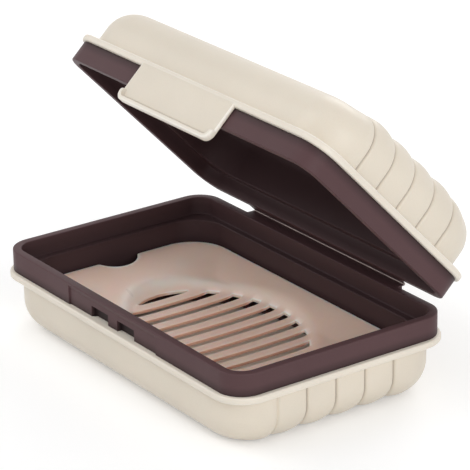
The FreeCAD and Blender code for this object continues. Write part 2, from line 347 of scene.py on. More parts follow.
creamSet = {
    "colour": (224, 214, 198), "paintedLight": (246, 240, 230), "paintedShade": (150, 138, 126), "grime": (198, 181, 162),
    "roughness": 0.40, "roughSwing": 0.07, "grain": 0.05, "grainScale": 2600, "waves": 0.05, "softness": 0.03,
    "gloss": 0.45,
}
plumSet = {
    "colour": (87, 64, 66), "paintedLight": (99, 76, 77), "paintedShade": (44, 34, 35), "grime": (56, 40, 40),
    "roughness": 0.48, "roughSwing": 0.08, "grain": 0.05, "grainScale": 3000, "waves": 0.04, "softness": 0.0,
    "gloss": 0.14,
}
foldSet = dict(plumSet, paintedLight=(214, 200, 194))   # a pale painted highlight along the fold
blushSet = {
    "colour": (250, 214, 197), "paintedLight": (253, 240, 232), "paintedShade": (214, 160, 130), "grime": (226, 182, 158),
    "roughness": 0.33, "roughSwing": 0.06, "grain": 0.03, "grainScale": 3200, "waves": 0.05, "softness": 0.5,
    "gloss": 0.45,
}
# what all three plastics share: noise scales per metre, heights and depths in metres
grainSet = {
    "cloudScale": 34, "cloudDark": 0.955, "cloudLight": 1.035,
    "speckleScale": 2600, "speckleShare": 0.08,
    "patchScale": 120, "patchLeast": 0.7, "polish": -0.03,
    "smearScale": 46, "smearTurn": (0.3, 0.2, 0.6), "smearStretch": (1, 3.2, 1.4),
    "grainHeight": 0.0002, "waveScale": 95, "waveHeight": 0.002,
    "softRadius": (1.0, 0.5, 0.3), "softDepth": 0.0016,
}


def linearColour(screen):
    # screen value 0 to 255 to the linear colour that a shader takes
    out = []
    for value in screen:
        c = value / 255
        out.append(c / 12.92 if c <= 0.04045 else ((c + 0.055) / 1.055) ** 2.4)
    return (*out, 1.0)


def noiseNode(tree, coords, scale, detail, roughness=0.5):
    node = tree.nodes.new("ShaderNodeTexNoise")
    node.inputs["Scale"].default_value = scale
    node.inputs["Detail"].default_value = detail
    node.inputs["Roughness"].default_value = roughness
    giveInput(coords, node.inputs["Vector"], tree)
    return Wire(tree, node.outputs["Fac"])


def rangeNode(tree, value, *limits):
    # limits: from low, from high, to low, to high
    node = tree.nodes.new("ShaderNodeMapRange")
    for given, socket in zip((value, *limits), node.inputs):
        giveInput(given, socket, tree)
    return Wire(tree, node.outputs[0])


def tintNode(tree, share, first, second):
    node = tree.nodes.new("ShaderNodeMix")
    node.data_type = "RGBA"
    for given, place in ((share, 0), (first, 6), (second, 7)):
        giveInput(given, node.inputs[place], tree)
    return Wire(tree, node.outputs[2])


def bumpNode(tree, height, strength, distance, under=None):
    node = tree.nodes.new("ShaderNodeBump")
    node.inputs["Strength"].default_value = strength
    node.inputs["Distance"].default_value = distance
    giveInput(height, node.inputs["Height"], tree)
    if under:
        giveInput(under, node.inputs["Normal"], tree)
    return Wire(tree, node.outputs["Normal"])


def mouldedPlastic(name, plasticSet):
    # a satin moulded plastic: cloudy tint, painted highlights, painted shade, handling marks and a fine grain
    mat = bpy.data.materials.new(name)
    mat.use_nodes = True
    tree = mat.node_tree
    shader = tree.nodes["Principled BSDF"].inputs
    coords = Wire(tree, tree.nodes.new("ShaderNodeTexCoord").outputs["Object"])
    plain = linearColour(plasticSet["colour"])
    cloud = rangeNode(tree, noiseNode(tree, coords, grainSet["cloudScale"], 4), 0.32, 0.68, 0, 1)
    dark, light = (tuple(min(1, c * share) for c in plain[:3]) + (1,)
                   for share in (grainSet["cloudDark"], grainSet["cloudLight"]))
    tint = tintNode(tree, cloud, dark, light)
    speckle = noiseNode(tree, coords, grainSet["speckleScale"], 1)
    speckle = rangeNode(tree, speckle, 0.5, 0.8, 0, grainSet["speckleShare"])
    tint = tintNode(tree, speckle, tint, linearColour(plasticSet["grime"]))
    toneNode = tree.nodes.new("ShaderNodeAttribute")
    toneNode.attribute_name = "tone"
    tone = Wire(tree, toneNode.outputs["Fac"])
    patchy = noiseNode(tree, coords, grainSet["patchScale"], 2, 0.4)
    patchy = rangeNode(tree, patchy, 0.3, 0.7, grainSet["patchLeast"], 1)
    # the tone mixes in the painted highlight colour above 0 and the painted shade colour below 0
    paintedLight = rangeNode(tree, tone, 0, 1, 0, 1) * patchy
    tint = tintNode(tree, paintedLight, tint, linearColour(plasticSet["paintedLight"]))
    paintedShade = rangeNode(tree, tone, 0, -1, 0, 1)
    tint = tintNode(tree, paintedShade, tint, linearColour(plasticSet["paintedShade"]))
    giveInput(tint, shader["Base Color"], tree)
    shader["Specular IOR Level"].default_value = plasticSet["gloss"]
    # smears from handling, long in one direction
    smearPlace = tree.nodes.new("ShaderNodeMapping")
    smearPlace.inputs["Rotation"].default_value = grainSet["smearTurn"]
    smearPlace.inputs["Scale"].default_value = grainSet["smearStretch"]
    giveInput(coords, smearPlace.inputs["Vector"], tree)
    smear = noiseNode(tree, Wire(tree, smearPlace.outputs[0]), grainSet["smearScale"], 2, 0.4)
    smear = rangeNode(tree, smear, 0.25, 0.75, -1, 1)
    rough = smear * plasticSet["roughSwing"] + plasticSet["roughness"] + paintedLight * grainSet["polish"]
    giveInput(rough, shader["Roughness"], tree)
    grain = noiseNode(tree, coords, plasticSet["grainScale"], 3, 0.6)
    grain = bumpNode(tree, grain, plasticSet["grain"], grainSet["grainHeight"])
    waves = noiseNode(tree, coords, grainSet["waveScale"], 1)
    waves = bumpNode(tree, waves, plasticSet["waves"], grainSet["waveHeight"], grain)
    giveInput(waves, shader["Normal"], tree)
    if plasticSet["softness"]:
        shader["Subsurface Weight"].default_value = plasticSet["softness"]
        shader["Subsurface Radius"].default_value = grainSet["softRadius"]
        shader["Subsurface Scale"].default_value = grainSet["softDepth"]
    return mat


creamPlastic = mouldedPlastic("creamPlastic", creamSet)
plumPlastic = mouldedPlastic("plumPlastic", plumSet)
foldPlastic = mouldedPlastic("foldPlastic", foldSet)
blushPlastic = mouldedPlastic("blushPlastic", blushSet)
print("materials made")


baseShellSet = {
    "depth": shapeSet["baseDepth"], "collar": 6.0, "round": 8.3, "lobeShift": 2.05,
    "endRise": -0.75, "crownRise": 0.75,
}
lidShellSet = {
    "depth": shapeSet["lidDepth"], "collar": 5.8, "round": 8.4, "lobeShift": 0.75,
    "endRise": 1.1, "crownRise": 0.45,
}
lobeSet = {
    "pitch": 8.8,
    "count": 9,                # more than the end holds: those past it are left out
    "crestDrop": 0.08,
    "creaseDepth": 0.85,
    "creaseHalf": 0.3,         # half the width of a crease's dark line
    "runOut": 9.0,             # along the flat, where the creases fade away
    "riseRun": 15.0,           # along the flat, where the raised end falls to the middle
    "riseWide": 16.0, "riseFade": 7.5,
    # columns of points about each crease
    "near": (-1.6, -1.2, -0.9, -0.7, -0.52, -0.38, -0.26, -0.16, -0.08, 0, 0.08, 0.16, 0.26, 0.38, 0.52, 0.7,
             0.9, 1.2, 1.6, 2.2, 2.9, 3.6, 4.4, 5.2, 5.9, 6.6),
    # crease to crest across half a lobe: place and share of the depth
    "profile": ((0.0, 1.0), (0.03, 0.86), (0.08, 0.545), (0.14, 0.33), (0.24, 0.188), (0.45, 0.095),
                (0.72, 0.025), (1.0, 0.0)),
}


def shellColumns(shift):
    # the ends get close columns about each crease
    halfX, halfY, corner = bodyBox
    innerX, innerY = halfX - corner, halfY - corner
    ends = {-innerY, innerY}
    for k in range(lobeSet["count"]):
        for step in lobeSet["near"]:
            y = (k - lobeSet["count"] // 2) * lobeSet["pitch"] - shift + step
            if abs(y) < innerY - 0.03:
                ends.add(round(y, 4))
    angles = list(np.arange(0.3, 9, 0.45)) + list(np.linspace(10.5, 87, 24))
    sides = steps(-innerX, innerX, 3.0)
    return RingMesh(sides, sides, ends, angles, innerX, innerY)


def shellMesh(shellSet):
    depth, edgeRound = shellSet["depth"], shellSet["round"]
    mesh = shellColumns(shellSet["lobeShift"])
    for inset in (30, 25, 22.5, 21, 19.6, 18.3, 17.1, 16, 15, 14, 13, 12, 11, 10, 9.2):
        mesh.add(bodyBox, -depth, inset, "carve")
    mesh.addBend("outerFoot", bodyBox, edgeRound, -depth, 22, "carve")
    top = -shellSet["collar"]
    low = top - shapeSet["flangeHeight"]
    under = shapeSet["flangeHollow"]
    for z in np.linspace(edgeRound - depth, low - under, 5)[1:]:
        mesh.add(bodyBox, z, 0, "carve")
    mesh.addBend("hollow", bodyBox, under, low, 3, "plain", first=1)
    flangeBox = (shapeSet["flangeX"], shapeSet["flangeY"], shapeSet["flangeCorner"])
    mesh.addBend("outerFoot", flangeBox, shapeSet["flangeRound"], low, 5, "flange")
    mesh.addBend("outerTop", flangeBox, shapeSet["flangeRound"], top, 5, "flange")
    wall = shapeSet["shellWall"]
    innerBox = smaller(bodyBox, wall)
    mesh.add(innerBox, top, 0, "inside")
    mesh.addBend("innerFoot", innerBox, edgeRound - wall, shapeSet["shellFloor"] - depth, 8, "inside")
    return mesh


def lobeTree():
    # presses the row of lobes into the ends, round their edge and out along the flat
    numbers = ("endX", "depth", "edgeRound", "pitch", "shift", "crestDrop", "creaseDepth", "runOut", "endRise",
               "crownRise", "riseRun", "riseWide", "riseFade", "riseFrom")
    inputs = {"Geometry": "Geometry", **dict.fromkeys(numbers, "Float"), "material": "Material"}
    tree, given = startTree("lobeRow", inputs)
    x, y, z = splitPlace(tree)
    # how far a point lies from the nearest crease, as a share of half a lobe
    turn = (y + given["shift"]) / given["pitch"]
    share = abs(mathNode(tree, "FRACT", turn + 0.5) - 0.5) * 2.0
    curve = tree.nodes.new("ShaderNodeFloatCurve")
    points = curve.mapping.curves[0].points
    for spot, height in lobeSet["profile"][1:-1]:
        points.new(spot, height)
    for point, (spot, height) in zip(points, lobeSet["profile"]):
        point.location = (spot, height)
    curve.mapping.update()
    giveInput(share, curve.inputs["Value"], tree)
    sunk = Wire(tree, curve.outputs[0]) * given["creaseDepth"] + given["crestDrop"]
    # how far the point lies past the bend's axis each way
    past = abs(x) - (given["endX"] - given["edgeRound"])
    out = past.atLeast(0.0)
    down = (z - (given["edgeRound"] - given["depth"])).atMost(0.0)
    slope = (given["crestDrop"] * 2.0 + given["creaseDepth"]) / given["runOut"]
    sunk = (past.atMost(0.0) * slope + sunk).atLeast(0.0)
    reach = mathNode(tree, "SQRT", out * out + down * down).atLeast(0.01)
    drawn = ((given["edgeRound"] - sunk) / reach).atMost(1.0) - 1.0
    # the end stands a little off the middle, and each lobe has a crown of its own there
    side = 1.0 - share
    rise = (1.0 - side * side) * given["crownRise"] + given["endRise"]
    along = softStep(tree, (past + given["riseRun"]) / given["riseRun"])
    across = softStep(tree, 1.0 - (abs(y) - given["riseWide"]) / given["riseFade"])
    climb = ((given["riseFrom"] + z) / (given["riseFrom"] - given["depth"])).atLeast(0.0)
    moveX = out * drawn * mathNode(tree, "SIGN", x)
    moveZ = down * drawn - rise * climb * (along * across)
    carve = tree.nodes.new("GeometryNodeInputNamedAttribute")
    carve.data_type = "BOOLEAN"
    carve.inputs["Name"].default_value = "carve"
    move = tree.nodes.new("GeometryNodeSetPosition")
    giveInput(given["Geometry"], move.inputs["Geometry"], tree)
    tree.links.new(carve.outputs["Attribute"], move.inputs["Selection"])
    giveInput(joinXYZ(tree, x=moveX, z=moveZ), move.inputs["Offset"], tree)
    endTree(tree, move.outputs[0], given["material"])
    return tree


# painted highlight on the flange's edges, painted light on the inside seen through the rack's slots
shellTones = {"flange": 0.3, "inside": 0.8}
rimTone = 1.0                  # painted highlight along the flange's lower outer edge
# how strongly painted shade darkens the creases
creaseTone = 0.8


def creaseShare(points, shellSet):
    # 1 along the creases' lines, fading out on the flat: where painted shade darkens the creases
    turn = (points[:, 1] + shellSet["lobeShift"]) / lobeSet["pitch"]
    apart = abs(turn - np.round(turn)) * lobeSet["pitch"]
    past = abs(points[:, 0]) - shapeSet["bodyX"] + shellSet["round"] + lobeSet["runOut"] - 1
    crease = np.clip(1 - apart / lobeSet["creaseHalf"], 0, 1) * np.clip(past / lobeSet["runOut"], 0, 1)
    crease *= abs(points[:, 1]) < shapeSet["bodyY"] - shapeSet["bodyCorner"] + 0.1
    return crease * (points[:, 2] < -shellSet["collar"] - shapeSet["flangeHeight"] + 0.01)


def makeShell(name, shellSet, place, mat, body, node):
    rings = shellMesh(shellSet)
    points = rings.stack().reshape(-1, 3)
    obj = addObject(name, points / mm, rings.faces(False), mat)
    mesh = obj.data
    columns = len(rings.rings[0])
    carved = np.repeat([tag == "carve" for tag in rings.tags], columns)
    mesh.attributes.new("carve", "BOOLEAN", "POINT").data.foreach_set("value", carved)
    values = dict(lobeSet, endX=shapeSet["bodyX"], depth=shellSet["depth"], edgeRound=shellSet["round"],
                  shift=shellSet["lobeShift"], endRise=shellSet["endRise"], crownRise=shellSet["crownRise"],
                  riseFrom=shellSet["collar"] + shapeSet["flangeHeight"], material=mat)
    obj.data = runTree(obj, lobeTree(), values)
    bpy.data.meshes.remove(mesh)
    obj.data.attributes.remove(obj.data.attributes["carve"])
    obj.data.set_sharp_from_angle(angle=math.radians(defaultSharp))
    # painted highlights on the flange, painted light inside and painted shade along the creases
    tones = [shellTones.get(tag, 0.0) for tag in rings.tags]
    first = rings.tags.index("flange") + 2
    tones[first:first + 2] = [rimTone] * 2
    setTone(obj.data, np.repeat(tones, columns) - creaseShare(points, shellSet) * carved * creaseTone)
    setPlace(obj, place)
    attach(obj, body)
    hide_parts(node)


baseLinerSet = dict(baseShellSet, ledge=5.0, windowX=33.7, windowY=22.5)
lidLinerSet = dict(lidShellSet, ledge=4.2)
collarBox = (shapeSet["collarX"], shapeSet["collarY"], shapeSet["collarCorner"])
leafSet = {"half": 32.3, "thickness": 1.2, "reach": 1.4, "edge": 0.1}
panelSet = {
    "middle": -0.7,            # the latch's middle along X
    "half": 19.7,
    "depth": 0.42,
    "top": 0.6,                # below the parting plane, where the collar starts to slope back
    "slope": 1.0,
    "catchInner": 2.1, "catchOuter": 9.6, "catchTop": 3.1, "catchDepth": 1.62,
    "step": 0.05,              # half the width of each step's wall
}
rimRound = 0.3
collarRound = 0.12             # the collar's lower edge
ledgeRound = 0.35              # both edges of the ledge inside
middleInset = 20


def linerColumns(hasWindow):
    halfX, halfY, corner = collarBox
    innerX, innerY = halfX - corner, halfY - corner
    front = steps(-innerX, innerX, 4.0)
    if hasWindow:
        middle = panelSet["middle"]
        for half in (panelSet["half"], panelSet["catchInner"], panelSet["catchOuter"]):
            front += pairs((middle - half, middle + half), panelSet["step"])
    back = steps(-innerX, innerX, 4.0) + pairs((-leafSet["half"], leafSet["half"]), 0.06)
    return RingMesh(front, back, steps(-innerY, innerY, 4.0), np.linspace(3.5, 86.5, 25), innerX, innerY)


def middleBox(box, bend):
    # a last ring on the flat, inside the bend
    return (box[0] - bend - 1, box[1] - bend - 1, box[2] - bend - 0.8)


def linerMesh(linerSet):
    depth = linerSet["depth"]
    hasWindow = "windowX" in linerSet
    mesh = linerColumns(hasWindow)
    gap = shapeSet["shellWall"] + shapeSet["linerGap"]
    outBox = smaller(bodyBox, gap)
    outRound = linerSet["round"] - gap
    under = shapeSet["shellFloor"] + shapeSet["linerGap"] - depth
    wall = shapeSet["linerWall"]
    tubBox, tubRound = smaller(outBox, wall), outRound - wall
    floor = under + shapeSet["linerFloor"]
    rim = shapeSet["rim"]

    def addMiddle(box, z, window):
        # the floor's middle: the rings of the window's edge, or one small ring
        if hasWindow:
            for inset, height in window:
                mesh.addOval(linerSet["windowX"] + inset, linerSet["windowY"] + inset, height, "window")
        else:
            mesh.add((box[0] - middleInset, box[1] - middleInset, 1.0), z)

    addMiddle(outBox, under, ((0.0, floor - 0.25), (0.0, under + 0.2), (0.06, under + 0.06), (0.2, under)))
    mesh.add(middleBox(outBox, outRound), under)
    mesh.addBend("outerFoot", outBox, outRound, under, 8)
    low = -linerSet["collar"]
    mesh.add(outBox, low)
    mesh.addBend("outerFoot", collarBox, collarRound, low, 2, "collar")
    catchTop = -panelSet["catchTop"]
    slopeTop = -panelSet["top"]
    slopeEnd = slopeTop - panelSet["slope"]
    leafLow = rim - leafSet["thickness"]
    rows = [low + 0.6, catchTop - 0.6, catchTop - 0.04, catchTop + 0.04, -2.4]
    rows += [slopeEnd - 0.14, slopeEnd, slopeEnd + 0.14, leafLow - 0.03, leafLow + 0.03]
    rows += [slopeTop - 0.14, slopeTop, slopeTop + 0.1]
    for z in sorted(rows):
        mesh.add(collarBox, z, 0, "collar")
    mesh.addBend("outerTop", collarBox, rimRound, rim, 4, "rim")
    mouthBox = smaller(collarBox, shapeSet["collarWall"])
    mesh.addBend("innerTop", mouthBox, rimRound, rim, 4, "mouth")
    ledge = -linerSet["ledge"]
    mesh.add(mouthBox, (rim + ledge) / 2)
    mesh.addBend("innerFoot", mouthBox, ledgeRound, ledge, 3)
    mesh.addBend("innerTop", tubBox, ledgeRound, ledge, 4)
    mesh.add(tubBox, (ledge + floor) / 2)
    mesh.addBend("innerFoot", tubBox, tubRound, floor, 10)
    mesh.add(middleBox(tubBox, tubRound), floor)
    addMiddle(tubBox, floor, ((0.25, floor), (0.08, floor - 0.07)))
    return mesh


def addLeaf(points, tags):
    # the back of the collar's upper edge carries on as a flat strip towards the fold
    top = shapeSet["rim"]
    low = top - leafSet["thickness"]
    x, y, z = points[..., 0], points[..., 1], points[..., 2]
    behind = (y > shapeSet["collarY"] - rimRound - 0.01) & (abs(x) < leafSet["half"])
    chosen = behind & np.array([tag in ("collar", "rim") for tag in tags])[:, None] & (z > low)
    share = leafSet["edge"] / rimRound
    reached = shapeSet["collarY"] + leafSet["reach"] - (shapeSet["collarY"] - y) * share
    high = np.where(z > top - rimRound - 0.001, top - (top - z) * share, z)
    points[..., 1] = np.where(chosen, reached, y)
    points[..., 2] = np.where(chosen, high, z)


def addPanel(points, tags):
    # the set-back panel and the two catch pockets in the front of the base's collar
    collar = np.array([tag == "collar" for tag in tags])[:, None]
    front = collar & (points[..., 1] < -shapeSet["collarY"] + 0.2)
    across = abs(points[..., 0] - panelSet["middle"])
    sunk = np.clip((-panelSet["top"] - points[..., 2]) / panelSet["slope"], 0, 1) * panelSet["depth"]
    sunk = np.where(across < panelSet["half"], sunk, 0)
    pocket = (across > panelSet["catchInner"]) & (across < panelSet["catchOuter"])
    pocket &= points[..., 2] < -panelSet["catchTop"]
    sunk = np.where(pocket, panelSet["catchDepth"], sunk)
    points[..., 1] += np.where(front, sunk, 0)


# painted shade: the inside and mouth, the collar's foot under the flange and the catches
linerTones = {"inside": -0.5, "mouth": -0.3, "collarFoot": -0.75, "footHeight": 2.4, "catch": -1.0}


def makeLiner(name, linerSet, place, mat, body, node):
    rings = linerMesh(linerSet)
    points = rings.stack()
    addLeaf(points, rings.tags)
    hasWindow = "windowX" in linerSet
    if hasWindow:
        addPanel(points, rings.tags)
    obj = addObject(name, place(points.reshape(-1, 3)), rings.faces(hasWindow), mat)
    mouth = rings.tags.index("mouth")
    # painted shade over the mouth's lower part and the whole inside
    inside = np.zeros(len(rings.tags))
    inside[mouth + 3:] = linerTones["mouth"]
    inside[mouth + 5:] = linerTones["inside"]
    tones = np.repeat(inside, len(rings.rings[0])).reshape(points.shape[:2])
    # painted shade: the collar is darker where it goes down to the flange, and in the catches
    collar = np.array([tag == "collar" for tag in rings.tags])[:, None]
    height = (points[..., 2] + linerSet["collar"]) / linerTones["footHeight"]
    tones = np.where(collar, linerTones["collarFoot"] * np.clip(1 - height, 0, 1), tones)
    across = abs(points[..., 0] - panelSet["middle"])
    sunk = (points[..., 1] < 0) & (points[..., 1] > 1.2 - shapeSet["collarY"])
    pocket = collar & sunk & (across < panelSet["catchOuter"] + 2)
    setTone(obj.data, np.where(pocket, linerTones["catch"], tones).ravel())
    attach(obj, body)
    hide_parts(node)


filmSet = {"half": 32.3, "reach": 0.6, "inside": 0.1, "thickness": 0.3}


def filmPoint(along, turn, radius):
    # before the fold the strip lies along -Y, after it along the opened lid
    opened = math.radians(shapeSet["openAngle"])
    angle = turn * (math.pi - opened)
    outY, outZ = math.sin(angle), -math.cos(angle)
    if along <= 0:
        y, z = along, 0.0
    else:
        y, z = -math.cos(opened) * along, math.sin(opened) * along
    return y + outY * radius + shapeSet["hingeY"], z + outZ * radius + shapeSet["baseDepth"]


def makeFilm(name, mat):
    # a thin strip round the outside of the fold, from the base's leaf to the lid's
    near = filmSet["inside"]
    far = near + filmSet["thickness"]
    reach = filmSet["reach"] - 0.01
    stations = [(along, 0) for along in np.linspace(-reach, 0, 6)]
    stations += [(0, turn) for turn in np.linspace(0, 1, 11)[1:]]
    stations += [(along, 1) for along in np.linspace(0, reach, 6)[1:]]
    outline = [filmPoint(along, turn, near) for along, turn in stations]
    outline += [filmPoint(along, turn, far) for along, turn in reversed(stations)]
    across = steps(-filmSet["half"] + 0.02, filmSet["half"] - 0.02, 3.0)
    points = [(x, y, z) for x in across for y, z in outline]
    faces = gridFaces(0, len(across), len(outline)) + endFaces(0, len(across), len(outline))
    obj = addObject(name, points, faces, mat, 50)
    fixNormals(obj.data)
    # painted highlight along the fold's line
    fold = [1.0 if along == 0 else 0.0 for along, turn in stations]
    setTone(obj.data, (fold + fold[::-1]) * len(across))
    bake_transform(obj)
    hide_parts("hinge_film")


tabSet = {
    "middle": -0.7, "half": 19.9, "drop": 4.9, "corner": 2.4,
    "front": -33.585, "back": -32.595,
    "top": 6.95, "fade": 0.45,     # the plate's upper end sinks into the flange's face
    "edge": 0.4,
    "lipReach": 0.92, "lipEdge": 0.38, "lipFlat": 1.02, "lipFoot": 1.6, "lipRise": 2.3, "lipRound": 0.95,
    "nubInner": 2.6, "nubOuter": 9.1,
    # each nub's section as (y, z)
    "nub": ((-32.8, -3.35), (-32.5, -3.35), (-31.405, -3.6), (-31.405, -3.95), (-32.595, -4.75),
            (-32.8, -4.75)),
    # the flat's last two rings, and the back's as (inset, height)
    "inner": (1.75, 2.1),
    "under": ((2.1, 0), (0.3, 0), (0.15, 0), (0.04, -0.04), (0.0, -0.15)),
    "blendFrom": 5.8, "blendTo": 4.3,
    "proud": 0.012,            # keeps the plate clear of the flange's face
    "fadeDepth": 0.25,
    "beadTone": 1.1, "footTone": 1.7,   # insets at which the bead's painted highlight and its foot's painted shade end
}


def tabPath():
    # down one side, round the lower corners and up the other: places and outward directions
    half, low, corner = tabSet["half"], -tabSet["drop"], tabSet["corner"]
    bend = low + corner
    right = [((half - corner + corner * math.sin(turn), bend - corner * math.cos(turn)),
              (math.sin(turn), -math.cos(turn))) for turn in arcSteps(14)[1:]]
    rise = [bend + step for step in (0.2, 0.4, 0.55, 0.7, 0.8, 0.87, 0.93, 0.98, 1.05, 1.4, 2.2)]
    rise += steps(bend + 3.4, tabSet["top"] - tabSet["fade"], 0.8) + [tabSet["top"]]
    right += [((half, z), (1, 0)) for z in rise]
    left = [((-x, z), (-outX, outZ)) for (x, z), (outX, outZ) in reversed(right)]
    foot = [((x, low), (0, -1)) for x in steps(-half + corner, half - corner, 2.0)]
    return left + foot + right


def edgeFall(inset, edge):
    # how far a rounded edge lies below the flat beside it
    rest = np.clip(edge - inset, 0, edge)
    return edge - np.sqrt(edge * edge - rest * rest)


def lipHeight(inset, raised):
    # how far the front stands out at this distance from the edge
    plain = -edgeFall(inset, tabSet["edge"])
    across = min(max((inset - tabSet["lipFlat"]) / (tabSet["lipFoot"] - tabSet["lipFlat"]), 0), 1)
    bead = tabSet["lipReach"] * (1 + math.cos(math.pi * across)) / 2
    lip = bead - edgeFall(inset, tabSet["lipEdge"])
    return plain + (lip - plain) * raised


def lipTone(inset, raised):
    # painted highlight on the edge and the bead, painted shade along the bead's foot
    if inset < tabSet["edge"]:
        return 0.9
    if inset < tabSet["beadTone"]:
        return 0.45 * raised
    return -0.35 * raised if inset < tabSet["footTone"] else 0


def addNubs(points, faces):
    section = tabSet["nub"]
    for side in (-1, 1):
        start = len(points)
        ends = sorted((side * tabSet["nubInner"], side * tabSet["nubOuter"]))
        points += [(x, y, z) for x in ends for y, z in section]
        faces += gridFaces(start, 2, len(section)) + endFaces(start, 2, len(section))


def makeTab(name, mat):
    insets = [0.0] + [tabSet["lipEdge"] * (1 - math.cos(turn)) for turn in arcSteps(6)[1:]]
    insets += [0.5, 0.7, 0.88, 0.96] + steps(tabSet["lipFlat"], tabSet["lipFoot"], 0.07) + list(tabSet["inner"])
    path = tabPath()
    points = []
    tones = []
    for (x, z), (outX, outZ) in path:
        climb = (z + tabSet["drop"] - tabSet["lipRise"]) / tabSet["lipRound"]
        raised = math.sqrt(1 - climb * climb) if 0 < climb < 1 else float(climb <= 0)
        fade = max(0, (z - tabSet["top"] + tabSet["fade"]) / tabSet["fade"]) * tabSet["fadeDepth"]
        column = [(inset, tabSet["back"] + height, 0) for inset, height in tabSet["under"]]
        column += [(inset, tabSet["front"] - tabSet["proud"] - lipHeight(inset, raised) + fade,
                    lipTone(inset, raised)) for inset in insets]
        points += [(x - outX * inset, y, z - outZ * inset) for inset, y, tone in column]
        tones += [tone for inset, y, tone in column]
    count = len(column)
    faces = gridFaces(0, len(path), count, isRound=False)
    last = len(points) - count
    faces.append(tuple(range(0, len(points), count)))
    faces.append(tuple(reversed(range(count - 1, len(points), count))))
    faces.append(tuple(range(count)) + tuple(reversed(range(last, last + count))))
    addNubs(points, faces)
    points = np.array(points) + np.array((tabSet["middle"], 0, 0))
    obj = addObject(name, openLid(placeBase(points)), faces, mat, 40)
    setTone(obj.data, tones + [0] * (len(points) - len(tones)))
    fixNormals(obj.data)
    start, end = (openLid(placeBase(np.array([(0, tabSet["front"], z)])))[0] * mm
                  for z in (tabSet["blendFrom"], tabSet["blendTo"]))
    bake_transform(obj)
    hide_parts("latch_tab")


rackSet = {
    "halfX": 47.41, "halfY": 27.335, "corner": 11.0, "edge": 11.05, "floor": 3.2, "sheet": 1.0,
    "land": 0.5,
    "slopeDrop": 2.6, "footX": 26.22, "footY": 16.81, "footCorner": 1.6,
    "bowlX": 33.7, "bowlY": 21.8,
    # the bowl from its brim to its middle: share of its half axes and drop
    "bowl": ((1.14, -0.9), (1.05, 0.7), (1.0, 1.57), (0.95, 2.49), (0.918, 3.06), (0.885, 3.6), (0.85, 3.93),
             (0.8, 4.12), (0.7, 4.26), (0.6, 4.32), (0.4, 4.43), (0.2, 4.48), (0.0, 4.5)),
    "blendWidth": 0.16,        # how softly the bowl runs into the slopes
    "edgeRound": 0.26, "edgeSteps": 4,
    "notchHalf": 6.1, "notchDepth": 4.1, "notchRound": 1.1,
    "legX": 38.01, "legY": 14.035, "legRadius": 2.0,
    # each foot's lower edge: share of its radius and height
    "legEdge": ((0.86, 0.0), (0.96, 0.08), (1.0, 0.3)),
    "grid": 1.0, "gridRow": 0.866,      # the points' distance, and the rows' as a share of it
    "clearRim": 0.6, "clearSlot": 0.5,  # no point of the grid lies nearer to an edge
}
# painted highlights and painted shade on the rack's parts
rackTones = {"rim": 0.9, "slotEdge": 0.3, "slotTop": 0.25, "slotWall": -0.7, "slotEnd": 1.2, "under": -0.3,
             "brim": 0.7, "brimAt": 0.95, "brimWide": 0.07}
slotSet = {"count": 10, "pitch": 6.0, "width": 2.9, "fieldX": 28.45, "fieldY": 19.3, "cornerRound": 0.32,
           "least": 0.04, "longest": 1.3}   # between the points of a slot's edge


def slotTree():
    # a row of flat strips, one for each slot, that all end on one oval
    inputs = {"count": "Int", **dict.fromkeys(("pitch", "width", "fieldX", "fieldY"), "Float"),
              "material": "Material"}
    tree, given = startTree("slotRow", inputs)
    line = tree.nodes.new("GeometryNodeMeshLine")
    start = (given["count"] - 1.0) * given["pitch"] * -0.5
    giveInput(given["count"], line.inputs["Count"], tree)
    giveInput(joinXYZ(tree, given["pitch"]), line.inputs["Offset"], tree)
    giveInput(joinXYZ(tree, start), line.inputs["Start Location"], tree)
    strip = tree.nodes.new("GeometryNodeMeshGrid")
    strip.inputs["Vertices X"].default_value = 13
    strip.inputs["Vertices Y"].default_value = 31
    strip.inputs["Size Y"].default_value = 2.0
    giveInput(given["width"], strip.inputs["Size X"], tree)
    place = tree.nodes.new("GeometryNodeInstanceOnPoints")
    tree.links.new(line.outputs[0], place.inputs["Points"])
    tree.links.new(strip.outputs[0], place.inputs["Instance"])
    real = tree.nodes.new("GeometryNodeRealizeInstances")
    tree.links.new(place.outputs[0], real.inputs[0])
    x, y, _ = splitPlace(tree)
    # the oval's half width at this place along it
    along = x / given["fieldX"]
    reach = mathNode(tree, "SQRT", (1.0 - along * along).atLeast(0.0)) * given["fieldY"]
    move = tree.nodes.new("GeometryNodeSetPosition")
    tree.links.new(real.outputs[0], move.inputs["Geometry"])
    giveInput(joinXYZ(tree, x, y * reach), move.inputs["Position"], tree)
    endTree(tree, move.outputs[0], given["material"])
    return tree


def slotOutlines(mat):
    # each strip's edge as a closed loop of (x, y), turning left
    empty = bpy.data.meshes.new("slots")
    holder = bpy.data.objects.new("slots", empty)
    bpy.context.scene.collection.objects.link(holder)
    made = runTree(holder, slotTree(), dict(slotSet, material=mat))
    shape = bmesh.new()
    shape.from_mesh(made)
    bmesh.ops.remove_doubles(shape, verts=shape.verts, dist=1e-4)
    follow = {}
    for edge in shape.edges:
        if edge.is_boundary:
            first, second = edge.verts
            follow.setdefault(first, []).append(second)
            follow.setdefault(second, []).append(first)
    loops = []
    while follow:
        start = next(iter(follow))
        loop = [start]
        before, here = None, start
        while True:
            ways = [vert for vert in follow[here] if vert is not before]
            before, here = here, ways[0]
            if here is start:
                break
            loop.append(here)
        for vert in loop:
            follow.pop(vert)
        points = np.array([vert.co[:2] for vert in loop])
        loops.append(points if loopArea(points) > 0 else points[::-1])
    shape.free()
    bpy.data.objects.remove(holder)
    bpy.data.meshes.remove(made)
    return loops


def loopArea(points):
    x, y = points[:, 0], points[:, 1]
    return float(np.sum(x * np.roll(y, -1) - np.roll(x, -1) * y)) / 2


def loopRuns(points):
    # the direction of the run that comes to each point
    runs = points - np.roll(points, 1, 0)
    return runs / np.hypot(runs[:, 0], runs[:, 1])[:, None]


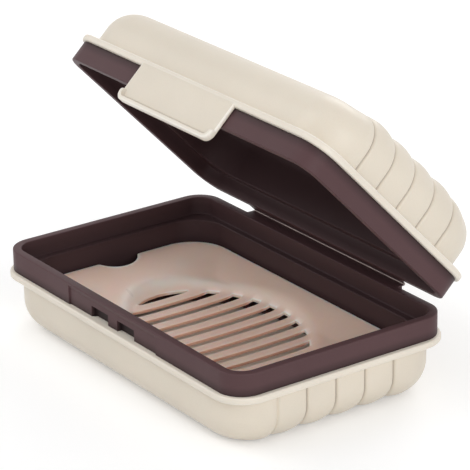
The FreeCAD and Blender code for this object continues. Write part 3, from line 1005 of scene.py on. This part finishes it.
def roundLoop(points, radius, sharpest=25, arc=5):
    # gives every sharp corner of a closed loop a small arc
    into = loopRuns(points)
    away = np.roll(into, -1, 0)
    turns = np.arctan2(into[:, 0] * away[:, 1] - into[:, 1] * away[:, 0], (into * away).sum(1))
    cuts = np.where(abs(turns) > math.radians(sharpest), radius * np.tan(abs(turns) / 2), 0)
    out = []
    for here, into, turn, cut in zip(points, into, turns, cuts):
        if cut == 0:
            apart = np.hypot(*(points[cuts > 0] - here).T)
            if np.all(apart > cuts[cuts > 0] * 1.1):
                out.append(here)
            continue
        start = here - into * cut
        side = math.copysign(1, turn)
        centre = start + np.array((-into[1], into[0])) * side * radius
        spoke = start - centre
        for step in range(arc + 1):
            angle = turn * step / arc
            out.append(centre + np.array((spoke[0] * math.cos(angle) - spoke[1] * math.sin(angle),
                                          spoke[0] * math.sin(angle) + spoke[1] * math.cos(angle))))
    return np.array(out)


def thinLoop(points, least):
    # drops points that lie too close to the one before
    out = [points[0]]
    for point in points[1:]:
        if np.hypot(*(point - out[-1])) > least:
            out.append(point)
    if np.hypot(*(out[-1] - out[0])) < least:
        out.pop()
    return np.array(out)


def shiftLoop(points, distance):
    # moves a loop that turns left outwards by a distance
    into = loopRuns(points)
    away = np.roll(into, -1, 0)
    normal = np.stack((into[:, 1] + away[:, 1], -into[:, 0] - away[:, 0]), 1)
    normal /= np.maximum((normal * normal).sum(1) / 2, 0.2)[:, None]
    return points + normal * distance


def rackOutline():
    # a rounded rectangle with the finger notch in its -X end, turning left
    halfX, halfY, corner = rackSet["halfX"], rackSet["halfY"], rackSet["corner"]
    depth, half = rackSet["notchDepth"], rackSet["notchHalf"]
    radius = (half ** 2 + depth ** 2) / (2 * depth)
    middle = depth - halfX - radius
    points = []
    for cx, cy, first in ((1, -1, -90), (1, 1, 0), (-1, 1, 90)):
        for angle in np.radians(first + np.linspace(0, 90, 31)):
            points.append(((halfX - corner) * cx + corner * math.cos(angle),
                           (halfY - corner) * cy + corner * math.sin(angle)))
    points += [(-halfX, y) for y in np.arange(halfY - corner - 1, half + 0.4, -0.9)]
    spread = math.asin(half / radius)
    points += [(middle + radius * math.cos(angle), radius * math.sin(angle))
               for angle in np.linspace(spread, -spread, 33)]
    points += [(-halfX, -y) for y in np.arange(half + 0.9, halfY - corner - 0.5, 0.9)]
    for angle in np.radians(180 + np.linspace(0, 90, 31)):
        points.append((corner - halfX + corner * math.cos(angle), corner - halfY + corner * math.sin(angle)))
    for x in np.arange(corner - halfX + 1, halfX - corner - 0.5, 1.1):
        points.append((x, -halfY))
    loop = fillLoop(np.array(points), 1.2)
    return roundLoop(thinLoop(loop, 0.05), rackSet["notchRound"], 35, 8)


def fillLoop(points, longest):
    # adds points on long straight runs
    out = []
    for here, after in zip(points, np.roll(points, -1, 0)):
        count = max(1, int(np.hypot(*(after - here)) / longest))
        for k in range(count):
            out.append(here + (after - here) * k / count)
    return np.array(out)


def slopeDrop(x, y):
    # share of the way from the rim's line to the slopes' foot, found by halving
    low = np.zeros(len(x))
    high = np.ones(len(x))
    rimX, rimY = rackSet["halfX"] - rackSet["land"], rackSet["halfY"] - rackSet["land"]
    rimCorner = rackSet["corner"] - rackSet["land"]
    for _ in range(26):
        share = (low + high) / 2
        halfX = rimX + (rackSet["footX"] - rimX) * share
        halfY = rimY + (rackSet["footY"] - rimY) * share
        corner = rimCorner + (rackSet["footCorner"] - rimCorner) * share
        overX, overY = np.abs(x) - halfX + corner, np.abs(y) - halfY + corner
        outside = np.hypot(np.maximum(overX, 0), np.maximum(overY, 0))
        outside += np.minimum(np.maximum(overX, overY), 0)
        isInside = outside < corner
        low = np.where(isInside, share, low)
        high = np.where(isInside, high, share)
    return (low + high) / 2 * rackSet["slopeDrop"]


def dishHeight(points):
    # the rack's upper surface
    x, y = points[:, 0], points[:, 1]
    size = np.hypot(x / rackSet["bowlX"], y / rackSet["bowlY"])
    profile = np.array(rackSet["bowl"])[::-1]
    bowl = smoothCurve(size, profile[:, 0], profile[:, 1])
    slope = slopeDrop(x, y)
    width = rackSet["blendWidth"]
    apart = np.clip(1 - np.abs(bowl - slope) / (4 * width), 0, 1)
    return rackSet["edge"] - np.maximum(bowl, slope) - width * apart * apart


def smoothCurve(at, places, heights):
    # a curve through points that never swings past them
    places = np.array(places)
    heights = np.array(heights)
    run = np.diff(places)
    rise = np.diff(heights) / run
    slopes = np.zeros(len(places))
    same = rise[1:] * rise[:-1] > 0
    mean = 3 * (run[1:] + run[:-1])
    mean = mean / ((2 * run[1:] + run[:-1]) / rise[:-1] + (run[1:] + 2 * run[:-1]) / rise[1:])
    slopes[1:-1] = np.where(same, mean, 0)
    slopes[-1] = rise[-1]
    k = np.clip(np.searchsorted(places, at) - 1, 0, len(run) - 1)
    t = np.clip((at - places[k]) / run[k], 0, None)
    past = at > places[-1]
    t = np.where(past, 1, t)
    h = run[k]
    value = ((2 * t ** 3 - 3 * t ** 2 + 1) * heights[k] + (t ** 3 - 2 * t ** 2 + t) * h * slopes[k]
             + (-2 * t ** 3 + 3 * t ** 2) * heights[k + 1] + (t ** 3 - t ** 2) * h * slopes[k + 1])
    return np.where(past, heights[-1] - 3, value)


def insideLoop(points, loop):
    x, y = points[:, 0], points[:, 1]
    odd = np.zeros(len(points), bool)
    for (ax, ay), (bx, by) in zip(loop, np.roll(loop, -1, 0)):
        if ay == by:
            continue
        crosses = ((ay > y) != (by > y)) & (x < (bx - ax) * (y - ay) / (by - ay) + ax)
        odd ^= crosses
    return odd


def nearLoop(points, loop, distance):
    near = np.zeros(len(points), bool)
    for spot in loop:
        near |= np.hypot(points[:, 0] - spot[0], points[:, 1] - spot[1]) < distance
    return near


def sheetTriangles(flat):
    # points all over the sheet, and triangles between the loops
    pitch = rackSet["grid"]
    xs = np.arange(-rackSet["halfX"], rackSet["halfX"], pitch)
    ys = np.arange(-rackSet["halfY"], rackSet["halfY"], pitch * rackSet["gridRow"])
    grid = np.array([(x + (row % 2) * pitch / 2, y) for row, y in enumerate(ys) for x in xs])
    keep = insideLoop(grid, flat[0]) & ~nearLoop(grid, flat[0], rackSet["clearRim"])
    for loop in flat[1:]:
        keep &= ~insideLoop(grid, loop) & ~nearLoop(grid, loop, rackSet["clearSlot"])
    spots = np.concatenate(flat + [grid[keep]])
    sides = []
    start = 0
    for loop in flat:
        count = len(loop)
        sides += [(start + k, start + (k + 1) % count) for k in range(count)]
        start += count
    verts, _, triangles, *_ = delaunay_2d_cdt([Vector(spot) for spot in spots], sides, [], 0, 1e-6)
    verts = np.array(verts)
    centres = verts[np.array(triangles)].mean(1)
    kept = insideLoop(centres, flat[0])
    for loop in flat[1:]:
        kept &= ~insideLoop(centres, loop)
    return verts, [tuple(face) for face, good in zip(triangles, kept) if good]


def makeRack(name, mat):
    edge = rackSet["edgeRound"]
    sheet = rackSet["sheet"]
    rounded = [roundLoop(loop, slotSet["cornerRound"]) for loop in slotOutlines(mat)]
    slots = [fillLoop(thinLoop(loop, slotSet["least"]), slotSet["longest"]) for loop in rounded]
    walls = [(rackOutline(), -1)] + [(loop, 1) for loop in slots]   # the sheet lies on this side of each
    flat = [shiftLoop(loop, side * edge) for loop, side in walls]
    verts, triangles = sheetTriangles(flat)
    top = np.column_stack((verts, dishHeight(verts)))
    points = [top, top - np.array((0, 0, sheet))]
    # painted highlights along the rim and the slots' edges, and on the brim
    onTop = brimTone(verts)
    onTop[:sum(len(rim) for rim in flat)] = rackTones["slotEdge"]
    onTop[:len(flat[0])] = rackTones["rim"]
    # painted shade on the underside
    tones = [onTop, np.full(len(top), rackTones["under"])]
    faces = triangles + [tuple(reversed([len(top) + k for k in face])) for face in triangles]
    total = 2 * len(top)
    start = 0
    turns = arcSteps(rackSet["edgeSteps"])
    profile = [(edge * (1 - math.sin(turn)), -edge * (1 - math.cos(turn))) for turn in turns[1:]]
    profile += [(edge * (1 - math.cos(turn)), edge * (1 - math.sin(turn)) - sheet) for turn in turns[:-1]]
    for (loop, side), rim in zip(walls, flat):
        count = len(rim)
        rows = [list(range(start, start + count))]
        height = dishHeight(loop)
        for step, (aside, down) in enumerate(profile):
            ring = shiftLoop(loop, side * aside)
            points.append(np.column_stack((ring, height + down)))
            isUpper = step < rackSet["edgeSteps"] - 1
            # painted highlight on the rim's upper rounding, painted shade on the slots' walls, painted glints
            # at their ends
            if side < 0 and isUpper:
                tones.append(np.full(count, rackTones["rim"]))
            else:
                tones.append(slotEndTone(ring) + rackTones["slotTop" if isUpper else "slotWall"])
            rows.append(list(range(total, total + count)))
            total += count
        rows.append([len(top) + k for k in rows[0]])
        for upper, lower in zip(rows, rows[1:]):
            for k in range(count):
                j = (k + 1) % count
                face = (upper[k], lower[k], lower[j], upper[j])
                faces.append(face if side < 0 else tuple(reversed(face)))
        start += count
    addFeet(points, faces, total)
    points = np.concatenate(points)
    obj = addObject(name, points, faces, mat, 50)
    tones = np.concatenate(tones)
    # the feet get the underside's painted shade
    setTone(obj.data, np.append(tones, np.full(len(points) - len(tones), rackTones["under"])))
    fixNormals(obj.data)
    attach(obj, "rack")
    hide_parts("soap_rack")


def brimTone(points):
    # painted reflection: the bowl's steep brim is paler than the rest, most at the notch's end
    size = np.hypot(points[:, 0] / rackSet["bowlX"], points[:, 1] / rackSet["bowlY"])
    band = np.exp(-((size - rackTones["brimAt"]) / rackTones["brimWide"]) ** 2)
    return rackTones["brim"] * band * np.clip(0.2 - points[:, 0] / 32, 0, 1)


def slotEndTone(points):
    # painted glint where a slot's wall turns round its +Y end
    reach = slotSet["fieldY"] * np.sqrt(np.clip(1 - (points[:, 0] / slotSet["fieldX"]) ** 2, 0.02, 1))
    return rackTones["slotEnd"] * np.clip(points[:, 1] / reach * 12 - 10.6, 0, 1)


def addFeet(points, faces, total):
    radius, floor = rackSet["legRadius"], rackSet["floor"]
    turns = np.arange(28) * math.tau / 28
    spokes = np.stack((np.cos(turns), np.sin(turns)), 1) * radius
    for signX, signY in ((-1, -1), (1, -1), (-1, 1), (1, 1)):
        middle = np.array((signX * rackSet["legX"], signY * rackSet["legY"]))
        high = dishHeight(middle[None])[0] - rackSet["sheet"] / 2
        profile = (*rackSet["legEdge"], (1.0, high - floor))
        for size, lift in profile:
            points.append(np.column_stack((middle + spokes * size, np.full(len(spokes), floor + lift))))
        faces += gridFaces(total, len(profile), len(spokes)) + endFaces(total, len(profile), len(spokes))
        total += len(profile) * len(spokes)


makeShell("baseShell", baseShellSet, placeBase, creamPlastic, "base", "base_shell")
makeShell("lidShell", lidShellSet, placeLid, creamPlastic, "lid", "lid_shell")
print("shells made")
makeLiner("baseLiner", baseLinerSet, placeBase, plumPlastic, "base", "base_liner")
makeLiner("lidLiner", lidLinerSet, placeLid, plumPlastic, "lid", "lid_liner")
makeFilm("hingeFilm", foldPlastic)
print("liners and hinge made")
makeTab("latchTab", creamPlastic)
print("latch made")
makeRack("soapRack", blushPlastic)
print("rack made")


cameraSet = {
    "target": (-20.7, 19.8, 21.6),   # mm, at the height where the halves part
    "azimuth": 54.87,
    "elevation": 22.03,
    "roll": -0.93,
    "distance": 725.5,
    "fieldOfView": 9.78,
}
lightSet = {
    "worldLevel": 0.63,
    "floorColour": (0.9, 0.9, 0.9, 1),
    "floorGlow": 0.24,
    # watts, size and place in metres
    "keyLight": (3.8, 0.9, (-0.5, -0.9, 1.3)),
    "sideLight": (6.0, 0.8, (1.3, -0.2, 0.6)),
    "backLight": (5.0, 0.9, (-0.7, 1.2, 0.8)),
    "lowLight": (0.4, 0.7, (0.9, -0.75, 0.25)),
    "leftLight": (1.4, 0.5, (-1.1, -0.55, 0.6)),
}


def seenPlainly(tree):
    # 1 for the rays that show the surroundings themselves, 0 for those that light by them
    path = tree.nodes.new("ShaderNodeLightPath").outputs
    seen = Wire(tree, path["Is Camera Ray"])
    for kind in ("Is Glossy Ray", "Is Transmission Ray"):
        seen = seen.atLeast(Wire(tree, path[kind]))
    return seen


def makeFloor():
    size = 6.0
    mesh = bpy.data.meshes.new("floor")
    corners = [(x * size, y * size, 0) for x, y in ((-1, -1), (1, -1), (1, 1), (-1, 1))]
    mesh.from_pydata(corners, [], [(0, 1, 2, 3)])
    floor = bpy.data.objects.new("floor", mesh)
    bpy.context.scene.collection.objects.link(floor)
    mat = bpy.data.materials.new("floorWhite")
    mat.use_nodes = True
    tree = mat.node_tree
    tree.nodes.clear()
    matt = tree.nodes.new("ShaderNodeBsdfDiffuse")
    matt.inputs["Color"].default_value = lightSet["floorColour"]
    glow = tree.nodes.new("ShaderNodeEmission")
    giveInput(seenPlainly(tree) * lightSet["floorGlow"], glow.inputs["Strength"], tree)
    both = tree.nodes.new("ShaderNodeAddShader")
    out = tree.nodes.new("ShaderNodeOutputMaterial")
    tree.links.new(matt.outputs[0], both.inputs[0])
    tree.links.new(glow.outputs[0], both.inputs[1])
    tree.links.new(both.outputs[0], out.inputs["Surface"])
    mesh.materials.append(mat)


def makeWorld():
    world = bpy.data.worlds.new("paleRoom")
    bpy.context.scene.world = world
    world.use_nodes = True
    tree = world.node_tree
    back = tree.nodes["Background"]
    back.inputs["Color"].default_value = (1, 1, 1, 1)
    level = lightSet["worldLevel"]
    giveInput(seenPlainly(tree) * (1 - level) + level, back.inputs["Strength"], tree)


def areaLight(name, aim=(0, 0, 0.03)):
    watts, size, place = lightSet[name]
    lamp = bpy.data.lights.new(name, "AREA")
    lamp.energy = watts
    lamp.size = size
    lamp.shape = "DISK"
    obj = bpy.data.objects.new(name, lamp)
    bpy.context.scene.collection.objects.link(obj)
    obj.location = place
    obj.rotation_euler = (Vector(aim) - Vector(place)).to_track_quat("-Z", "Y").to_euler()


def makeCamera():
    azimuth = math.radians(cameraSet["azimuth"])
    elevation = math.radians(cameraSet["elevation"])
    roll = math.radians(cameraSet["roll"])
    back = Vector((math.sin(azimuth) * math.cos(elevation), -math.cos(azimuth) * math.cos(elevation),
                   math.sin(elevation)))
    right = Vector((math.cos(azimuth), math.sin(azimuth), 0))
    up = back.cross(right)
    turnedRight = right * math.cos(roll) + up * math.sin(roll)
    turnedUp = up * math.cos(roll) - right * math.sin(roll)
    target = Vector(cameraSet["target"]) * mm
    cam = bpy.data.cameras.new("camera")
    cam.sensor_width = 36
    cam.angle = math.radians(cameraSet["fieldOfView"])
    cam.clip_start = 0.01
    obj = bpy.data.objects.new("camera", cam)
    bpy.context.scene.collection.objects.link(obj)
    turn = Matrix((turnedRight, turnedUp, back)).transposed().to_4x4()
    obj.matrix_world = Matrix.Translation(target + back * cameraSet["distance"] * mm) @ turn
    bpy.context.scene.camera = obj


makeFloor()
makeWorld()
for name in ("keyLight", "sideLight", "backLight", "lowLight", "leftLight"):
    areaLight(name)
makeCamera()
bpy.context.scene.view_settings.view_transform = "Standard"
print("stage, lights and camera set")
